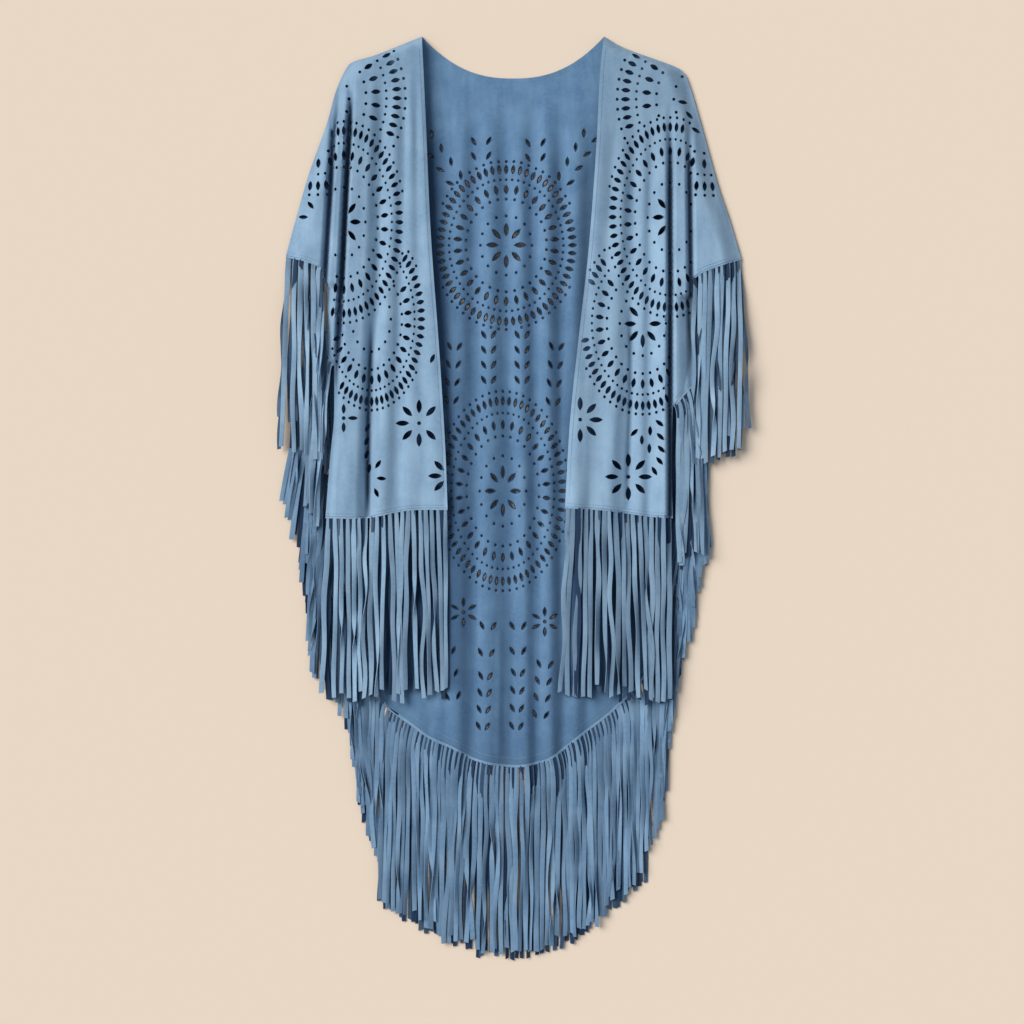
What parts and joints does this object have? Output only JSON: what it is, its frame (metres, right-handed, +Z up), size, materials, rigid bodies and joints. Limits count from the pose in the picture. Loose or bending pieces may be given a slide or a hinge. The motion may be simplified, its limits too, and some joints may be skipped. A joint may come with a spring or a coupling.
{
  "type": "open-front fringed poncho, laid flat",
  "caption": "Open-front suede poncho laid flat, cut with round medallions and leaf sprays, with long strand fringe at the sleeves, front hems and rounded back hem.",
  "frame": {"origin": "on the surface that the garment lies on, under the centre of its bounding box", "axes": "+Y from the back hem to the neck, +Z up from the surface through the back to the fronts, +X to the right as seen from above"},
  "size_m": [0.5609, 1.1094, 0.0289],
  "materials": {
    "suede_front": "soft dusty-blue imitation suede, matt with a fine mottled nap",
    "suede_back": "wrong side of the same imitation suede, matt and a little deeper blue",
    "suede_fringe": "cut strands of the same imitation suede, matt, with plain cut edges"
  },
  "bodies": {
    "root": {"back": "suede_back", "front_left": "suede_front", "front_right": "suede_front", "fringe_back": "suede_fringe", "fringe_back_side_left": "suede_fringe", "fringe_back_side_right": "suede_fringe", "fringe_front_left": "suede_fringe", "fringe_front_right": "suede_fringe", "fringe_side_left": "suede_fringe", "fringe_side_right": "suede_fringe", "fringe_sleeve_left": "suede_fringe", "fringe_sleeve_right": "suede_fringe", "fringe_sleeve_back_left": "suede_fringe", "fringe_sleeve_back_right": "suede_fringe"}
  },
  "joints": []
}
